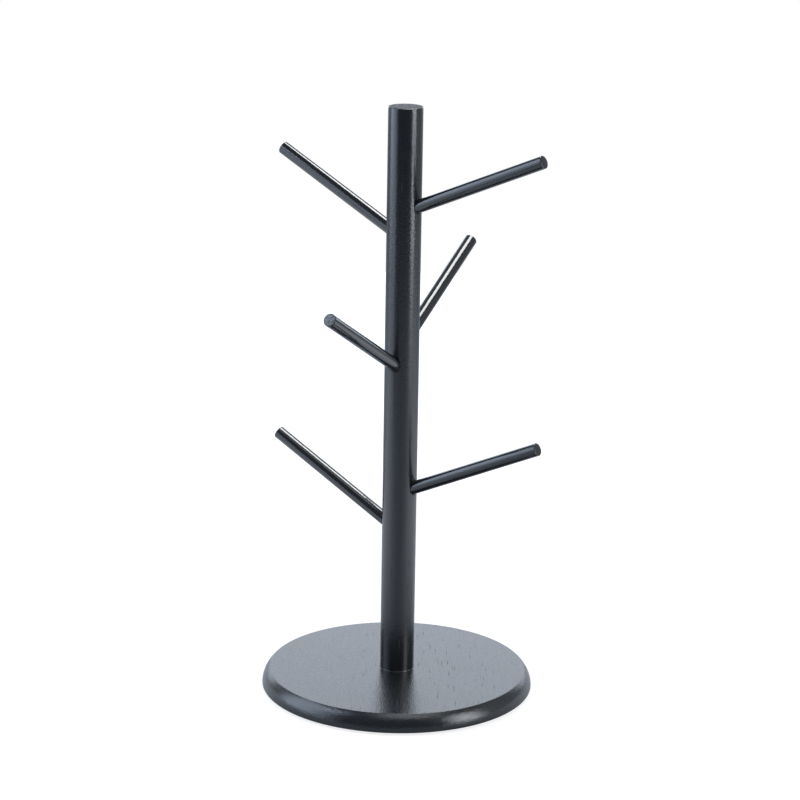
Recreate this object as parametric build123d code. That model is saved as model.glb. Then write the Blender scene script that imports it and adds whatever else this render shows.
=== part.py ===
from build123d import *
import os

# Mug tree: a round base, an upright post and six pegs that rise out of the post in three tiers.
# Millimetres and degrees. Z is up, the origin is under the middle of the base, where the pads stand.

# Base: a turned disc with a crisp upper edge over a rounded rim
base_diameter = 160.0
base_thickness = 10.5
base_edge_inset = 4.3  # from the widest part of the rim in to the crisp upper edge
base_lower_fillet = 1.0

# Post: a plain dowel that stands on the base
post_diameter = 20.0
post_height = 336.0
post_edge_break = 0.6

# Pegs: dowels glued into blind holes, each with its inner end on the post's axis
peg_diameter = 7.6
peg_length = 98.0
peg_end_chamfer = 0.5
peg_hole_clearance = 0.1  # on the radius
peg_glue_gap = 0.3  # between a peg's inner end and the bottom of its hole

# Rise of each peg above level
upper_right_rise = 23.2
upper_left_rise = 25.5
middle_right_rise = 28.4
middle_left_rise = 29.0
lower_right_rise = 24.3
lower_left_rise = 27.8

# Where each peg's axis meets the post's axis: from the post's top for the upper and middle tiers,
# and from its foot for the lower tier
upper_right_drop = 60.4
upper_left_drop = 75.9
middle_right_drop = 138.8
middle_left_drop = 153.5
lower_right_height = 108.5
lower_left_height = 85.0

# Turn of each peg about the post, from +X towards +Y
upper_right_turn = -32.1
upper_left_turn = 143.7
middle_right_turn = 62.2
middle_left_turn = 242.3
lower_right_turn = -29.4
lower_left_turn = 147.5

# Screw: countersunk, with a hexagon socket, driven up through the base
screw_diameter = 6.0
screw_length = 20.0
screw_head_diameter = 12.0
screw_head_land = 0.5  # straight rim under the head's cone
screw_head_recess = 0.4  # below the base's underside
screw_tip_chamfer = 0.8
screw_clearance = 0.2  # on the radius, in the base and in the insert
screw_tip_room = 2.0  # free depth past the screw's tip
socket_across_flats = 4.0
socket_depth = 2.4

# Threaded insert: a flanged sleeve in the post's foot
insert_wall = 1.8
insert_length = 15.0
insert_flange_diameter = 13.0
insert_flange_thickness = 1.0
insert_setback = 0.3  # behind the post's foot, so that the screw pulls wood onto wood
insert_clearance = 0.1

# Pads: self-adhesive discs under the base
pad_count = 4
pad_diameter = 14.0
pad_thickness = 1.5
pad_edge_distance = 18.0  # from the base's widest edge in to a pad's centre
pad_first_turn = 45.0

# Levels and radii that follow
underside = pad_thickness
base_top = underside + base_thickness
post_top = base_top + post_height
base_radius = base_diameter / 2
post_radius = post_diameter / 2
peg_radius = peg_diameter / 2
screw_radius = screw_diameter / 2
screw_head_radius = screw_head_diameter / 2
screw_bottom = underside + screw_head_recess
screw_top = screw_bottom + screw_length
insert_bottom = base_top + insert_setback
insert_bore_radius = screw_radius + screw_clearance
insert_radius = insert_bore_radius + insert_wall
insert_flange_radius = insert_flange_diameter / 2
pad_circle_radius = base_radius - pad_edge_distance

# Each peg's meeting height on the post's axis, turn and rise
pegs = {
    "upper_right_peg": (post_top - upper_right_drop, upper_right_turn, upper_right_rise),
    "upper_left_peg": (post_top - upper_left_drop, upper_left_turn, upper_left_rise),
    "middle_right_peg": (post_top - middle_right_drop, middle_right_turn, middle_right_rise),
    "middle_left_peg": (post_top - middle_left_drop, middle_left_turn, middle_left_rise),
    "lower_right_peg": (base_top + lower_right_height, lower_right_turn, lower_right_rise),
    "lower_left_peg": (base_top + lower_left_height, lower_left_turn, lower_left_rise),
}

upright = (Align.CENTER, Align.CENTER, Align.MIN)


def turned(outline):
    return revolve(Plane.XZ * make_face(outline), Axis.Z)


def rod(radius, bottom, top):
    return Pos(0, 0, bottom) * Cylinder(radius, top - bottom, align=upright)


def along_peg(height, turn, rise):
    direction = Vector(1, 0, 0).rotate(Axis.Y, -rise).rotate(Axis.Z, turn)
    return Plane((0, 0, height), z_dir=direction)


# The screw's form. The hole in the base is the same form, grown by the clearance.
def screw_form(bottom, tip, grow):
    head = screw_head_radius + grow
    shank = screw_radius + grow
    cone_bottom = screw_bottom + screw_head_land
    cone_top = cone_bottom + screw_head_radius - screw_radius
    return turned(
        Polyline(
            (0, bottom),
            (head, bottom),
            (head, cone_bottom),
            (shank, cone_top),
            (shank, tip - screw_tip_chamfer),
            (shank - screw_tip_chamfer, tip),
            (0, tip),
            close=True,
        )
    )


# The insert's outer form, grown by a clearance where it is the recess in the post
def insert_form(bottom, grow):
    top = insert_bottom + insert_length + grow
    flange_top = insert_bottom + insert_flange_thickness + grow
    return rod(insert_radius + grow, bottom, top) + rod(insert_flange_radius + grow, bottom, flange_top)


def make_base():
    lower_flat_end = (base_radius - base_lower_fillet, underside)
    rim = (base_radius, underside + base_lower_fillet)
    arris = (base_radius - base_edge_inset, base_top)
    flats = Polyline(arris, (0, base_top), (0, underside), lower_flat_end)
    lower_round = TangentArc(lower_flat_end, rim, tangent=(1, 0))
    upper_round = TangentArc(rim, arris, tangent=(0, 1))
    disc = turned(flats + lower_round + upper_round)
    screw_hole = screw_form(underside, screw_top + screw_tip_room, screw_clearance)
    return disc - screw_hole


def make_post():
    post = rod(post_radius, base_top, post_top)
    post = chamfer(post.edges().filter_by(GeomType.CIRCLE), post_edge_break)
    for height, turn, rise in pegs.values():
        hole = rod(peg_radius + peg_hole_clearance, -peg_glue_gap, peg_length)
        post -= along_peg(height, turn, rise) * hole
    post -= insert_form(base_top, insert_clearance)
    post -= rod(insert_bore_radius, base_top, screw_top + screw_tip_room)
    return post


def make_peg(height, turn, rise):
    dowel = rod(peg_radius, 0, peg_length)
    dowel = chamfer(dowel.edges().filter_by(GeomType.CIRCLE), peg_end_chamfer)
    return along_peg(height, turn, rise) * dowel


def make_screw():
    hexagon = RegularPolygon(socket_across_flats / 2, 6, major_radius=False)
    socket = extrude(Pos(0, 0, screw_bottom) * hexagon, socket_depth)
    return screw_form(screw_bottom, screw_top, 0) - socket


def make_insert():
    bore = rod(insert_bore_radius, insert_bottom, insert_bottom + insert_length)
    return insert_form(insert_bottom, 0) - bore


def make_pad(number):
    disc = rod(pad_diameter / 2, 0, pad_thickness)
    return Rot(0, 0, pad_first_turn + number * 360 / pad_count) * Pos(pad_circle_radius, 0, 0) * disc


parts = {
    "base": make_base(),
    "post": make_post(),
    "base_screw": make_screw(),
    "threaded_insert": make_insert(),
}
for name, place in pegs.items():
    parts[name] = make_peg(*place)
for number in range(pad_count):
    parts[f"foot_pad_{number + 1}"] = make_pad(number)

os.makedirs("parts", exist_ok=True)
for name, part in parts.items():
    export_step(part, f"parts/{name}.step")
    print(name, round(part.volume, 1), "mm3")
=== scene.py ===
from math import asin, hypot, pi, radians

import bmesh
import bpy
import numpy as np
from mathutils import Matrix, Vector


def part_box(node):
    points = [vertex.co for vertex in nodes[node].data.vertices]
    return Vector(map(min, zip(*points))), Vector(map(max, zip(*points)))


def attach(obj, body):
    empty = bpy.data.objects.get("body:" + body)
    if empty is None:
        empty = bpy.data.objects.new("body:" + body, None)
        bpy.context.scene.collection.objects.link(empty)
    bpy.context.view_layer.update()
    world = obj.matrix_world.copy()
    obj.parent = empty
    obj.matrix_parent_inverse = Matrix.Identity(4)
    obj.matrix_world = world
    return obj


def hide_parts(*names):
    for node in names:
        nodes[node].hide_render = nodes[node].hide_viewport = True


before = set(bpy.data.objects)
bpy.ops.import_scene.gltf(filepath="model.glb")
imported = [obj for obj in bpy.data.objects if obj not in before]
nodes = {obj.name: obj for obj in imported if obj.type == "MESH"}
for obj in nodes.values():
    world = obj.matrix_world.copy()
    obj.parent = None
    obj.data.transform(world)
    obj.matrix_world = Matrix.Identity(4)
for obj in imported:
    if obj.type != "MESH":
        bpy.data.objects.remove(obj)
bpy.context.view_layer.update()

# Mug tree in satin black lacquer. Metres, in the frame of the CAD nodes: Z up, the pads stand on z = 0.
# The dictionaries give pieces and finishes in millimetres and degrees, the studio in metres.

mm = 0.001
weldGap = 0.001 * mm
levelGap = 0.01 * mm  # points closer than this lie at one level
pointDecimals = 7  # of a metre
sharpAngle = 50  # an edge that turns by more degrees keeps its hard shading
print("frame:", len(nodes), "nodes")


def srgb(text):
    parts = [int(text[i:i + 2], 16) / 255 for i in (0, 2, 4)]
    linear = [p / 12.92 if p <= 0.04045 else ((p + 0.055) / 1.055) ** 2.4 for p in parts]
    return (*linear, 1.0)


def perMm(x, y, z):  # texture scale at which one pattern cell measures x by y by z millimetres
    return (1 / (x * mm), 1 / (y * mm), 1 / (z * mm))


def addNode(tree, kind, inputs=None, **settings):
    node = tree.nodes.new("ShaderNode" + kind)
    for name, value in settings.items():
        setattr(node, name, value)
    for key, value in (inputs or {}).items():
        if isinstance(value, bpy.types.NodeSocket):
            tree.links.new(value, node.inputs[key])
        else:
            node.inputs[key].default_value = value
    return node


def newMaterial(name):
    material = bpy.data.materials.new(name)
    material.use_nodes = True
    material.node_tree.nodes.clear()
    return material, material.node_tree


# Wood under a thin satin lacquer: fibres and pores still show as fine dents that break the shine, and it is
# torn where it is cut across. Fibres and pores are drawn coarser than real ones, so that they show.
wood = dict(
    black="0f1114", worn="16191c", end="2a2d32", poreShade="08090a", ior=1.55,
    wander=(45, 45, 160), bend=3.0,  # how slowly and how far the grain strays
    ringSpacing=2.6, earlyWood=(0.25, 0.75), latePores=0.1,  # a ring fades from many pores to few
    pores=(1.2, 1.2, 22), poreEdge=(0.08, 0.2), patch=(0.42, 0.58), poreRoughness=0.95,
    fibres=(0.5, 0.5, 14), fibreSpread=(0.3, 0.7), satin=(0.21, 0.27),
    peel=(0.95, 0.95, 1.2),  # the lacquer's own unevenness
    torn=(1.2, 1.2, 1.2), tornSpread=(0.35, 0.65), endFrom=0.85, endRoughness=(0.48, 0.95),
    details=dict(wander=2.0, fibres=3.0, peel=0.5, torn=1.0),
    depths=dict(torn=0.2, peel=0.06, fibres=0.008, pores=0.008),
)
glossWood = dict(  # the thin dowels took more lacquer
    wood, satin=(0.08, 0.13), patch=(0.55, 0.7), end="15171a", endRoughness=(0.17, 0.22),
    depths=dict(torn=0.08, peel=0.03, fibres=0.004, pores=0.004),
)
boardWood = dict(  # the board is duller on its face, and glossier on its rim over fine tearing
    wood, black="0e1013", worn="14171a", satin=(0.25, 0.3), patch=(0.47, 0.64),
    peel=(0.75, 0.75, 0.95), pores=(0.9, 0.9, 24), poreEdge=(0.04, 0.22), torn=(0.95, 0.95, 0.95),
    end="111316", endFrom=0.3, endRoughness=(0.15, 0.19),
    depths=dict(torn=0.15, peel=0.08, fibres=0.006, pores=0.008),
)


def makeWood(name, look):
    material, tree = newMaterial(name)
    grain = addNode(tree, "Attribute", attribute_name="grain").outputs["Vector"]
    cut = addNode(tree, "Attribute", attribute_name="cut").outputs["Fac"]
    slow = addNode(tree, "Mapping", {"Vector": grain, "Scale": perMm(*look["wander"])}).outputs[0]
    wander = addNode(tree, "TexNoise", {"Vector": slow, "Scale": 1.0, "Detail": look["details"]["wander"]})
    bend = (look["bend"] * mm, look["bend"] * mm, 0.0)
    bent = addNode(
        tree, "VectorMath", {0: wander.outputs["Color"], 1: bend, 2: grain}, operation="MULTIPLY_ADD",
    ).outputs[0]
    # growth rings round the pith
    across = addNode(tree, "VectorMath", {0: bent, 1: (1, 1, 0)}, operation="MULTIPLY").outputs[0]
    fromPith = addNode(tree, "VectorMath", {0: across}, operation="LENGTH").outputs["Value"]
    rings = addNode(tree, "Math", {0: fromPith, 1: 1 / (look["ringSpacing"] * mm)}, operation="MULTIPLY")
    year = addNode(tree, "Math", {0: rings.outputs[0]}, operation="FRACT").outputs[0]
    early = addNode(
        tree, "MapRange",
        {"Value": year, "From Min": look["earlyWood"][0], "From Max": look["earlyWood"][1],
         "To Min": 1.0, "To Max": look["latePores"]},
        interpolation_type="SMOOTHSTEP",
    ).outputs[0]
    # pores: long dots along the grain, in patches and mostly in early wood
    poreSpace = addNode(tree, "Mapping", {"Vector": bent, "Scale": perMm(*look["pores"])}).outputs[0]
    poreCells = addNode(tree, "TexVoronoi", {"Vector": poreSpace, "Scale": 1.0}).outputs["Distance"]
    poreDots = addNode(
        tree, "MapRange",
        {"Value": poreCells, "From Min": look["poreEdge"][0], "From Max": look["poreEdge"][1],
         "To Min": 1.0, "To Max": 0.0},
        interpolation_type="SMOOTHSTEP",
    ).outputs[0]
    patch = addNode(
        tree, "MapRange",
        {"Value": wander.outputs["Fac"], "From Min": look["patch"][0], "From Max": look["patch"][1]},
        interpolation_type="SMOOTHSTEP",
    ).outputs[0]
    zone = addNode(tree, "Math", {0: patch, 1: early}, operation="MULTIPLY").outputs[0]
    pores = addNode(tree, "Math", {0: poreDots, 1: zone}, operation="MULTIPLY").outputs[0]
    noises = {}
    for layer, source in (("fibres", bent), ("peel", grain), ("torn", grain)):
        space = addNode(tree, "Mapping", {"Vector": source, "Scale": perMm(*look[layer])}).outputs[0]
        noise = addNode(tree, "TexNoise", {"Vector": space, "Scale": 1.0, "Detail": look["details"][layer]})
        noises[layer] = noise.outputs["Fac"]
    end = addNode(tree, "MapRange", {"Value": cut, "From Min": look["endFrom"], "From Max": 1.0}).outputs[0]
    ringed = addNode(tree, "Math", {0: end, 1: early}, operation="MULTIPLY").outputs[0]
    torn = addNode(tree, "Math", {0: noises["torn"], 1: cut}, operation="MULTIPLY").outputs[0]
    colour = srgb(look["black"])
    # the pore tone is painted shade: open pores are drawn darker than the lacquer for the shadow in their
    # hollows
    for share, tone in ((noises["fibres"], "worn"), (ringed, "end"), (pores, "poreShade")):
        mix = addNode(tree, "Mix", {"Factor": share, "A": colour, "B": srgb(look[tone])}, data_type="RGBA")
        colour = mix.outputs["Result"]
    satin = addNode(
        tree, "MapRange",
        {"Value": noises["fibres"], "From Min": look["fibreSpread"][0], "From Max": look["fibreSpread"][1],
         "To Min": look["satin"][0], "To Max": look["satin"][1]},
    ).outputs[0]
    dull = addNode(
        tree, "MapRange",
        {"Value": noises["torn"], "From Min": look["tornSpread"][0], "From Max": look["tornSpread"][1],
         "To Min": look["endRoughness"][0], "To Max": look["endRoughness"][1]},
    ).outputs[0]
    roughness = satin
    for share, rough in ((end, dull), (pores, look["poreRoughness"])):
        mix = addNode(tree, "Mix", {"Factor": share, "A": roughness, "B": rough}, data_type="FLOAT")
        roughness = mix.outputs["Result"]
    normal = {}
    heights = dict(torn=torn, peel=noises["peel"], fibres=noises["fibres"], pores=pores)
    for layer, height in heights.items():
        depth = look["depths"][layer] * mm
        bump = addNode(
            tree, "Bump", {"Height": height, "Distance": depth, **normal}, invert=layer == "pores",
        )
        normal = {"Normal": bump.outputs[0]}
    shader = addNode(
        tree, "BsdfPrincipled",
        {"Base Color": colour, "Roughness": roughness, "IOR": look["ior"], **normal},
    )
    addNode(tree, "OutputMaterial", {"Surface": shader.outputs[0]})
    return material


# Zinc plate: bright grey metal with a faint turned texture and slightly cloudy patches.
zinc = dict(
    bright="c9ccd0", dull="9a9ea4", clouds=(2.5, 2.5, 2.5), cloudSpread=(0.3, 0.7), roughness=(0.24, 0.42),
    lines=(8, 8, 0.25), lineDepth=0.004, details=dict(clouds=4.0, lines=2.0),
)
# Brass: warm yellow metal, fine turning lines.
brass = dict(
    zinc, bright="c9a24e", dull="a67f36", clouds=(2, 2, 2), roughness=(0.22, 0.38), lines=(8, 8, 0.3),
)


def makeMetal(name, look):
    material, tree = newMaterial(name)
    place = addNode(tree, "TexCoord").outputs["Object"]
    noises = {}
    for layer in ("clouds", "lines"):
        space = addNode(tree, "Mapping", {"Vector": place, "Scale": perMm(*look[layer])}).outputs[0]
        noise = addNode(tree, "TexNoise", {"Vector": space, "Scale": 1.0, "Detail": look["details"][layer]})
        noises[layer] = noise.outputs["Fac"]
    colour = addNode(
        tree, "Mix",
        {"Factor": noises["clouds"], "A": srgb(look["bright"]), "B": srgb(look["dull"])},
        data_type="RGBA",
    )
    roughness = addNode(
        tree, "MapRange",
        {"Value": noises["clouds"], "From Min": look["cloudSpread"][0], "From Max": look["cloudSpread"][1],
         "To Min": look["roughness"][0], "To Max": look["roughness"][1]},
    )
    turned = addNode(tree, "Bump", {"Height": noises["lines"], "Distance": look["lineDepth"] * mm})
    shader = addNode(
        tree, "BsdfPrincipled",
        {"Base Color": colour.outputs["Result"], "Metallic": 1.0, "Roughness": roughness.outputs[0],
         "Normal": turned.outputs[0]},
    )
    addNode(tree, "OutputMaterial", {"Surface": shader.outputs[0]})
    return material


# Foam rubber: matt black with tiny open cells.
rubber = dict(black="161616", grey="262626", cells=(0.5, 0.5, 0.5), cellDepth=0.06, roughness=(0.75, 0.95))


def makeRubber():
    material, tree = newMaterial("black_foam_rubber")
    place = addNode(tree, "TexCoord").outputs["Object"]
    space = addNode(tree, "Mapping", {"Vector": place, "Scale": perMm(*rubber["cells"])}).outputs[0]
    cells = addNode(tree, "TexVoronoi", {"Vector": space, "Scale": 1.0}).outputs["Distance"]
    colour = addNode(
        tree, "Mix",
        {"Factor": cells, "A": srgb(rubber["black"]), "B": srgb(rubber["grey"])},
        data_type="RGBA",
    )
    roughness = addNode(
        tree, "MapRange",
        {"Value": cells, "To Min": rubber["roughness"][0], "To Max": rubber["roughness"][1]},
    )
    dents = addNode(tree, "Bump", {"Height": cells, "Distance": rubber["cellDepth"] * mm})
    shader = addNode(
        tree, "BsdfPrincipled",
        {"Base Color": colour.outputs["Result"], "Roughness": roughness.outputs[0],
         "Normal": dents.outputs[0]},
    )
    addNode(tree, "OutputMaterial", {"Surface": shader.outputs[0]})
    return material


satinLacquer = makeWood("satin_black_lacquered_wood", wood)
boardLacquer = makeWood("black_lacquered_turned_board", boardWood)
glossLacquer = makeWood("glossier_black_lacquered_dowel", glossWood)
zincPlate = makeMetal("zinc_plated_steel_screw", zinc)
turnedBrass = makeMetal("turned_brass", brass)
foamRubber = makeRubber()
print("materials:", len(bpy.data.materials))


def addObject(name, data):
    thing = bpy.data.objects.new(name, data)
    bpy.context.scene.collection.objects.link(thing)
    return thing


def toMesh(bm, name):
    mesh = bpy.data.meshes.new(name)
    bm.to_mesh(mesh)
    bm.free()
    return mesh


def drawLine(bm, points):  # a chain of edges through (radius, height) points in the XZ plane
    verts = [bm.verts.new((radius, 0, height)) for radius, height in points]
    for start, end in zip(verts, verts[1:]):
        bm.edges.new((start, end))
    return verts


def easeCorners(bm, corners, size, steps):
    bmesh.ops.bevel(
        bm, geom=corners, offset=size, offset_type="OFFSET", segments=steps, profile=0.5,
        affect="VERTICES", material=-1,
    )


def turnRound(bm, steps):
    outline = bm.verts[:] + bm.edges[:]
    bmesh.ops.spin(
        bm, geom=outline, cent=(0, 0, 0), axis=(0, 0, 1), angle=2 * pi, steps=steps, use_merge=True,
    )
    bmesh.ops.remove_doubles(bm, verts=bm.verts, dist=weldGap)
    bmesh.ops.recalc_face_normals(bm, faces=bm.faces)


def makePiece(bm, name, node, material, place=Matrix(), toGrain=None, across=(0, 0, 1)):
    mesh = toMesh(bm, name)
    if toGrain is not None:
        grain = mesh.attributes.new("grain", "FLOAT_VECTOR", "POINT")
        for vert in mesh.vertices:
            grain.data[vert.index].vector = toGrain @ vert.co
        cut = mesh.attributes.new("cut", "FLOAT", "FACE")  # 1 on end grain, 0 along the fibres
        for face in mesh.polygons:
            cut.data[face.index].value = (face.normal * Vector(across)).length
    mesh.transform(place)
    mesh.polygons.foreach_set("use_smooth", [True] * len(mesh.polygons))
    mesh.set_sharp_from_angle(angle=radians(sharpAngle))
    mesh.materials.append(material)
    piece = addObject(name, mesh)
    weighted = piece.modifiers.new("weighted_normals", "WEIGHTED_NORMAL")
    weighted.keep_sharp = True
    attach(piece, "root")
    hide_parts(node)
    return piece


# Base: a turned disc, crisp upper edge over a rounded rim, with the screw's countersunk hole
base = dict(
    steps=256, arrisEase=0.2, arrisSteps=4, lowerSteps=6, rimSteps=20, holeEase=0.3, holeSteps=2,
    grainAt=(56, 64, 1032),  # from the pith of the board
    endGrain=(0.6, 1, 0),  # how far a face that looks along x, y or z cuts across the fibres
)


def makeBase():
    low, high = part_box("base")
    rings = [(hypot(v.co.x, v.co.y), v.co.z) for v in nodes["base"].data.vertices]
    top = [r for r, z in rings if z > high.z - levelGap]
    bottom = [r for r, z in rings if z < low.z + levelGap]
    shank, arrisRadius = min(top), max(top)
    head, flatRadius = min(bottom), max(bottom)
    widest = max(r for r, z in rings)
    lowerRound = widest - flatRadius
    inset = widest - arrisRadius
    rimHeight = high.z - low.z - lowerRound
    rimRadius = (inset ** 2 + rimHeight ** 2) / (2 * inset)
    coneBottom = max(z for r, z in rings if abs(r - head) < levelGap)
    coneTop = min(z for r, z in rings if abs(r - shank) < levelGap)
    bm = bmesh.new()
    line = drawLine(bm, [
        (shank, high.z), (shank, coneTop), (head, coneBottom), (head, low.z), (flatRadius, low.z),
    ])
    level = low.z + lowerRound
    lower = bmesh.ops.spin(
        bm, geom=[line[-1]], cent=(flatRadius, 0, level), axis=(0, -1, 0),
        angle=pi / 2, steps=base["lowerSteps"],
    )
    upper = bmesh.ops.spin(
        bm, geom=lower["geom_last"], cent=(widest - rimRadius, 0, level), axis=(0, -1, 0),
        angle=asin(rimHeight / rimRadius), steps=base["rimSteps"],
    )
    arris = [v for v in upper["geom_last"] if isinstance(v, bmesh.types.BMVert)][0]
    bm.edges.new((arris, line[0]))
    easeCorners(bm, [line[3]], base["holeEase"] * mm, base["holeSteps"])
    easeCorners(bm, [arris], base["arrisEase"] * mm, base["arrisSteps"])
    turnRound(bm, base["steps"])
    x, y, z = [part * mm for part in base["grainAt"]]
    # the board's grain runs front to back
    toGrain = Matrix(((1, 0, 0, x), (0, 0, 1, y), (0, 1, 0, z), (0, 0, 0, 1)))
    return makePiece(
        bm, "base_disc", "base", boardLacquer,
        toGrain=toGrain, across=base["endGrain"],
    )


makeBase()
print("base made")

# Pegs: dowels with flat-cut, slightly eased ends, each from its own stretch of wood
peg = dict(
    steps=64, ease=0.55, easeSteps=4,
    grainAt={
        "upper_right_peg": (14, 5, 0), "upper_left_peg": (-9, 17, 210),
        "middle_right_peg": (22, -4, 420), "middle_left_peg": (6, 12, 630),
        "lower_right_peg": (-15, -8, 840), "lower_left_peg": (11, -19, 1050),
    },
)


def measurePeg(name):  # place of the inner end with Z along the peg, length and radius of the CAD peg
    points = [v.co[:] for v in nodes[name].data.vertices]
    points = np.unique(np.round(points, pointDecimals), axis=0)
    middle = points.mean(axis=0)
    axis = np.linalg.svd(points - middle)[2][0]
    axis *= np.sign(axis[2])
    along = (points - middle) @ axis
    radius = np.linalg.norm(points - middle - np.outer(along, axis), axis=1).max()
    inner = Vector(middle + axis * along.min())
    turn = Vector(axis).to_track_quat("Z", "Y").to_matrix().to_4x4()
    return Matrix.Translation(inner) @ turn, float(np.ptp(along)), float(radius)


def makePeg(name):
    place, length, radius = measurePeg(name)
    bm = bmesh.new()
    line = drawLine(bm, [(0, 0), (radius, 0), (radius, length), (0, length)])
    easeCorners(bm, line[1:3], peg["ease"] * mm, peg["easeSteps"])
    turnRound(bm, peg["steps"])
    toGrain = Matrix.Translation([part * mm for part in peg["grainAt"][name]])
    return makePiece(bm, name + "_dowel", name, glossLacquer, place, toGrain)


for pegName in peg["grainAt"]:
    makePeg(pegName)
print("pegs made:", len(peg["grainAt"]))

# Post: a dowel with eased ends, six blind peg holes and the stepped recess for the threaded insert
post = dict(
    steps=128, cuts=120, topEase=0.6, easeSteps=4,
    footRun=0.35,  # lacquer that ran down and set as a small hollow round the foot
    holeGap=0.1, holeBottom=0.3, holeSteps=64,
    mouthEase=0.2, mouthSteps=2, mouthAngle=30, mouthMargin=1.0,  # no mouth is so near the post's ends
    recessGap=0.1, flangeHeight=1.0, grainAt=(16, 9, 300),
)


def cutAway(bm, cutter):  # what is left of a form where a second form is taken out of it
    parts = [addObject(name, toMesh(form, name)) for name, form in (("blank", bm), ("cutter", cutter))]
    boolean = parts[0].modifiers.new("holes", "BOOLEAN")
    boolean.object = parts[1]
    boolean.operation = "DIFFERENCE"
    boolean.solver = "EXACT"
    made = bmesh.new()
    made.from_object(parts[0], bpy.context.evaluated_depsgraph_get())
    for part in parts:
        bpy.data.objects.remove(part)
    return made


def makePegHoles():  # the pegs' own forms, grown by the room for glue
    holes = bmesh.new()
    bottom = post["holeBottom"] * mm
    for name in peg["grainAt"]:
        place, length, radius = measurePeg(name)
        wide = radius + post["holeGap"] * mm
        bmesh.ops.create_cone(
            holes, cap_ends=True, segments=post["holeSteps"], radius1=wide, radius2=wide,
            depth=length + bottom, matrix=place @ Matrix.Translation((0, 0, (length - bottom) / 2)),
        )
    return holes


def makePost():
    low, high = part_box("post")
    insertLow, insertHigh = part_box("threaded_insert")
    insertTop = [v.co for v in nodes["threaded_insert"].data.vertices if v.co.z > insertHigh.z - levelGap]
    gap = post["recessGap"] * mm
    radius = (high.x - low.x) / 2
    sleeve = max(hypot(point.x, point.y) for point in insertTop) + gap
    recessTop = insertHigh.z + gap
    flange = (insertHigh.x - insertLow.x) / 2 + gap
    flangeTop = insertLow.z + post["flangeHeight"] * mm + gap
    run = post["footRun"] * mm
    bm = bmesh.new()
    line = drawLine(bm, [
        (0, high.z), (radius, high.z), (radius, low.z), (radius + run, low.z),
        (flange, low.z), (flange, flangeTop), (sleeve, flangeTop), (sleeve, recessTop), (0, recessTop),
    ])
    easeCorners(bm, [line[1]], post["topEase"] * mm, post["easeSteps"])
    easeCorners(bm, [line[2]], run, post["easeSteps"])
    side = max(bm.edges, key=lambda edge: edge.calc_length())
    bmesh.ops.subdivide_edges(bm, edges=[side], cuts=post["cuts"])
    turnRound(bm, post["steps"])
    bm = cutAway(bm, makePegHoles())
    margin = post["mouthMargin"] * mm
    mouths = [
        edge for edge in bm.edges
        if edge.calc_face_angle(0) > radians(post["mouthAngle"])
        and all(hypot(v.co.x, v.co.y) > radius - levelGap for v in edge.verts)
        and all(low.z + margin < v.co.z < high.z - margin for v in edge.verts)
    ]
    bmesh.ops.bevel(
        bm, geom=mouths, offset=post["mouthEase"] * mm, offset_type="OFFSET", segments=post["mouthSteps"],
        profile=0.5, affect="EDGES", material=-1,
    )
    loose = sum(len(edge.link_faces) != 2 for edge in bm.edges)
    print("post: hole mouth edges", len(mouths), "open edges", loose, "faces", len(bm.faces))
    toGrain = Matrix.Translation([part * mm for part in post["grainAt"]])
    return makePiece(bm, "post_dowel", "post", satinLacquer, toGrain=toGrain)


makePost()
print("post made")

# Pads: stick-on discs of foam rubber
pad = dict(count=4, steps=64, ease=0.4, easeSteps=3)


def makePad(name):
    low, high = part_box(name)
    middle = (low + high) / 2
    radius = (high.x - low.x) / 2
    height = high.z - low.z
    bm = bmesh.new()
    line = drawLine(bm, [(0, 0), (radius, 0), (radius, height), (0, height)])
    easeCorners(bm, [line[1]], pad["ease"] * mm, pad["easeSteps"])
    turnRound(bm, pad["steps"])
    place = Matrix.Translation((middle.x, middle.y, low.z))
    return makePiece(bm, name + "_foam", name, foamRubber, place)


for number in range(pad["count"]):
    makePad(f"foot_pad_{number + 1}")
print("pads made:", pad["count"])

for name, material in (("base_screw", zincPlate), ("threaded_insert", turnedBrass)):
    nodes[name].material_slots[0].material = material
print("screw and insert: CAD meshes in metal")


def directRays(tree, path):  # 1 for what the camera sees, straight on or through something clear
    rays = {0: path.outputs["Is Camera Ray"], 1: path.outputs["Is Transmission Ray"]}
    return addNode(tree, "Math", rays, operation="MAXIMUM").outputs[0]


# Floor: a round table top, white for the camera. The lacquer mirrors it as a darker grey copy, which is
# painted shade, with painted light glowing at both sides.
pureWhite = srgb("ffffff")
floor = dict(
    radius=1.12, steps=128, drop=0.0001, white="f2f2f2",
    cameraGrey="959595", cameraGlow=(0.8, 1.0), cameraReach=(0.3, 0.6),  # the glow makes up the rest to white
    # the mirror copy's grey and its glow are painted shade and painted light, seen in reflections alone
    mirrorGrey="c1c6cb", mirrorGlow=0.95, mirrorSides=(0.03, 0.3), mirrorDepth=(0.45, 0.1),
)


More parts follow.
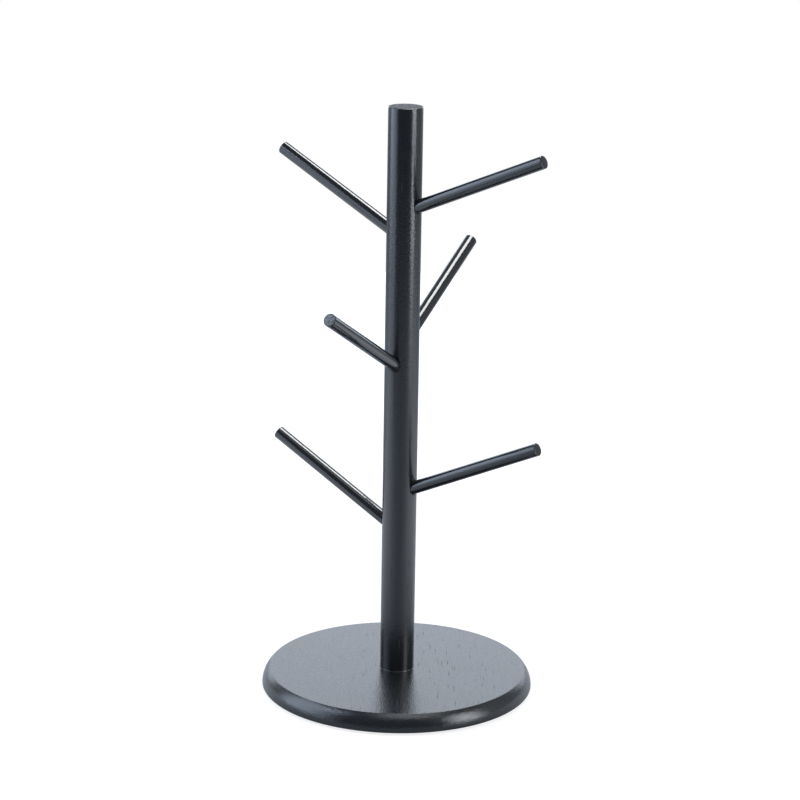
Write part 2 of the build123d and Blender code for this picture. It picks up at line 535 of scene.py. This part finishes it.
def makeTableWhite():
    material, tree = newMaterial("white_table")
    path = addNode(tree, "LightPath")
    place = addNode(tree, "TexCoord").outputs["Object"]
    matt = addNode(tree, "BsdfDiffuse", {"Color": srgb(floor["white"])})
    # for the camera: a floor that takes a faint shadow and glows, more so away from the stand
    pale = addNode(tree, "BsdfDiffuse", {"Color": srgb(floor["cameraGrey"])})
    away = addNode(tree, "VectorMath", {0: place}, operation="LENGTH").outputs["Value"]
    bright = addNode(
        tree, "MapRange",
        {"Value": away, "From Min": floor["cameraReach"][0], "From Max": floor["cameraReach"][1],
         "To Min": floor["cameraGlow"][0], "To Max": floor["cameraGlow"][1]},
    )
    glow = addNode(tree, "Emission", {"Color": pureWhite, "Strength": bright.outputs[0]})
    seen = addNode(tree, "AddShader", {0: pale.outputs[0], 1: glow.outputs[0]})
    # for mirror images: a darker grey copy as painted shade, with an emitted glow as painted light to the
    # left and right of the stand, fading to the front and back
    grey = addNode(tree, "BsdfDiffuse", {"Color": srgb(floor["mirrorGrey"])})
    span = addNode(tree, "VectorMath", {0: place}, operation="ABSOLUTE")
    where = addNode(tree, "SeparateXYZ", {0: span.outputs[0]})
    sides = addNode(
        tree, "MapRange",
        {"Value": where.outputs["X"], "From Min": floor["mirrorSides"][0],
         "From Max": floor["mirrorSides"][1], "To Max": floor["mirrorGlow"]},
    )
    depth = addNode(
        tree, "MapRange",
        {"Value": where.outputs["Y"], "From Min": floor["mirrorDepth"][0],
         "From Max": floor["mirrorDepth"][1]},
    )
    strength = addNode(tree, "Math", {0: sides.outputs[0], 1: depth.outputs[0]}, operation="MULTIPLY")
    paintedSideGlow = addNode(tree, "Emission", {"Color": pureWhite, "Strength": strength.outputs[0]})
    mirrored = addNode(tree, "AddShader", {0: grey.outputs[0], 1: paintedSideGlow.outputs[0]})
    glossy = path.outputs["Is Glossy Ray"]
    lit = addNode(tree, "MixShader", {0: glossy, 1: matt.outputs[0], 2: mirrored.outputs[0]})
    direct = directRays(tree, path)
    upper = addNode(tree, "MixShader", {0: direct, 1: lit.outputs[0], 2: seen.outputs[0]})
    # from below the table is not there
    below = addNode(tree, "NewGeometry").outputs["Backfacing"]
    clear = addNode(tree, "BsdfTransparent")
    surface = addNode(tree, "MixShader", {0: below, 1: upper.outputs[0], 2: clear.outputs[0]})
    addNode(tree, "OutputMaterial", {"Surface": surface.outputs[0]})
    return material


def makeFloor():
    bm = bmesh.new()
    under = Matrix.Translation((0, 0, -floor["drop"]))
    bmesh.ops.create_circle(
        bm, cap_ends=True, segments=floor["steps"], radius=floor["radius"], matrix=under,
    )
    table = addObject("table_top", toMesh(bm, "table_top"))
    table.data.materials.append(makeTableWhite())


makeFloor()

# Studio: white all round for the camera. The lacquer mirrors a cool backdrop behind the stand and a dim
# room in front of it, which gets lighter with height.
studio = dict(
    backdrop="e9f2ff", backdropLight=0.52, edge=(-0.25, 0.45),  # fades in from front to back
    room="c8ccd4", roomLight=(0.1, 0.4), rise=(0.0, 0.35),  # from the horizon up
)


def makeStudio():
    world = bpy.data.worlds.new("studio")
    bpy.context.scene.world = world
    world.use_nodes = True
    tree = world.node_tree
    tree.nodes.clear()
    way = addNode(tree, "TexCoord").outputs["Generated"]
    parts = addNode(tree, "SeparateXYZ", {0: way})
    behind = addNode(
        tree, "MapRange",
        {"Value": parts.outputs["Y"], "From Min": studio["edge"][0], "From Max": studio["edge"][1]},
        interpolation_type="SMOOTHSTEP",
    )
    upper = addNode(
        tree, "MapRange",
        {"Value": parts.outputs["Z"], "From Min": studio["rise"][0], "From Max": studio["rise"][1],
         "To Min": studio["roomLight"][0], "To Max": studio["roomLight"][1]},
    )
    room = addNode(tree, "Background", {"Color": srgb(studio["room"]), "Strength": upper.outputs[0]})
    backdrop = addNode(
        tree, "Background", {"Color": srgb(studio["backdrop"]), "Strength": studio["backdropLight"]},
    )
    around = addNode(tree, "MixShader", {0: behind.outputs[0], 1: room.outputs[0], 2: backdrop.outputs[0]})
    white = addNode(tree, "Background", {"Color": pureWhite, "Strength": 1.0})
    direct = directRays(tree, addNode(tree, "LightPath"))
    seen = addNode(tree, "MixShader", {0: direct, 1: around.outputs[0], 2: white.outputs[0]})
    addNode(tree, "OutputWorld", {"Surface": seen.outputs[0]})


makeStudio()

# Lamps: place, aim, width and height, brightness seen in a mirror, colour
lamps = dict(
    leftBox=dict(at=(-1.2, 0.01, 0.7), aim=(0, 0.01, 0.7), size=(0.78, 1.3), bright=4.1, tint="d8e8ff"),
    leftFill=dict(at=(-0.8, -0.4, 0.42), aim=(0, -0.4, 0.42), size=(0.3, 0.8), bright=2.2, tint="d8e8ff"),
    leftTop=dict(at=(-1.2, -0.54, 1.3), aim=(0, -0.1, 0.3), size=(0.4, 0.4), bright=6.0, tint="d8e8ff"),
    rightBox=dict(at=(1.05, -0.6, 0.46), aim=(0, 0, 0.46), size=(0.5, 0.9), bright=7.4, tint="f4faff"),
    rightFill=dict(at=(1.2, 0, 0.65), aim=(0, 0, 0.65), size=(0.5, 1.2), bright=0.35, tint="f4faff"),
    backBox=dict(at=(0.0, 1.5, 0.56), aim=(0, 0, 0.45), size=(3.2, 0.9), bright=2.07, tint="e8f2ff"),
    overhead=dict(
        at=(0.39, 0.4, 1.45), aim=(0.39, 0.4, 0), size=(0.7, 0.66), bright=15.0, tint="ffffff",
        glossOnly=True,  # shines in the lacquer alone
    ),
    frontTop=dict(at=(0.25, -0.8, 1.45), aim=(0.25, -0.8, 0), size=(1.1, 1.0), bright=2.1, tint="f4f8ff"),
)


def makeLamp(name, look):
    width, height = look["size"]
    data = bpy.data.lights.new(name, "AREA")
    data.shape = "RECTANGLE"
    data.size = width
    data.size_y = height
    data.energy = look["bright"] * pi * width * height
    data.color = srgb(look["tint"])[:3]
    lamp = addObject(name, data)
    lamp.location = look["at"]
    lamp.rotation_euler = (Vector(look["aim"]) - Vector(look["at"])).to_track_quat("-Z", "Y").to_euler()
    lamp.visible_camera = False
    lamp.visible_diffuse = not look.get("glossOnly", False)


for lampName, lampLook in lamps.items():
    makeLamp(lampName, lampLook)

# Camera: fitted to the base and the post as photographed
camera = dict(at=(0.0, -1.5151, 0.594), pitch=15.41, yaw=0.024, roll=0.927, lens=121.96, sensor=36.0)


def makeCamera():
    data = bpy.data.cameras.new("camera")
    data.lens = camera["lens"]
    data.sensor_width = camera["sensor"]
    eye = addObject("camera", data)
    yaw = Matrix.Rotation(radians(camera["yaw"]), 4, "Z")
    pitch = Matrix.Rotation(radians(90 - camera["pitch"]), 4, "X")
    roll = Matrix.Rotation(radians(camera["roll"]), 4, "Z")
    eye.matrix_world = Matrix.Translation(camera["at"]) @ (yaw @ pitch) @ roll
    bpy.context.scene.camera = eye


makeCamera()
bpy.context.scene.view_settings.view_transform = "Standard"
print("studio, lamps and camera set")
